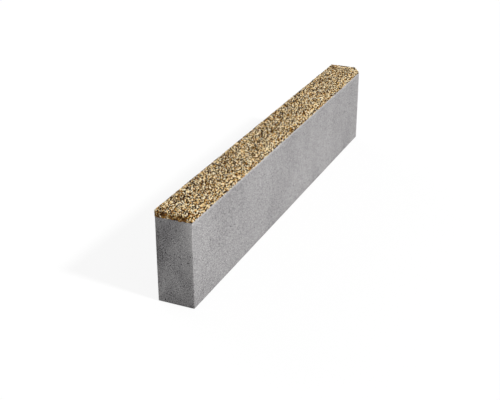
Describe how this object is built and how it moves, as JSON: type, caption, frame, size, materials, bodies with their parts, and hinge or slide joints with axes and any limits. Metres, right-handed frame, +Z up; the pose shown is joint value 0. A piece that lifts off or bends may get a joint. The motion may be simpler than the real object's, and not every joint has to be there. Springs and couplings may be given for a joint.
{
  "type": "concrete kerb stone",
  "caption": "Straight two-layer concrete kerb stone with a chamfered front top edge and a facing of exposed stone chips, for edging paths, lawns and paving.",
  "frame": {"origin": "middle of the bed, the flat bottom face that the kerb stands on", "axes": "+X along the kerb, +Y from the chamfered front face towards the plain back face, +Z up"},
  "size_m": [1, 0.08, 0.2],
  "materials": {
    "grey_concrete": "matte",
    "stone_chip_facing": "matte"
  },
  "bodies": {
    "root": {"concrete_body": "grey_concrete", "facing_layer": "stone_chip_facing"}
  },
  "joints": []
}
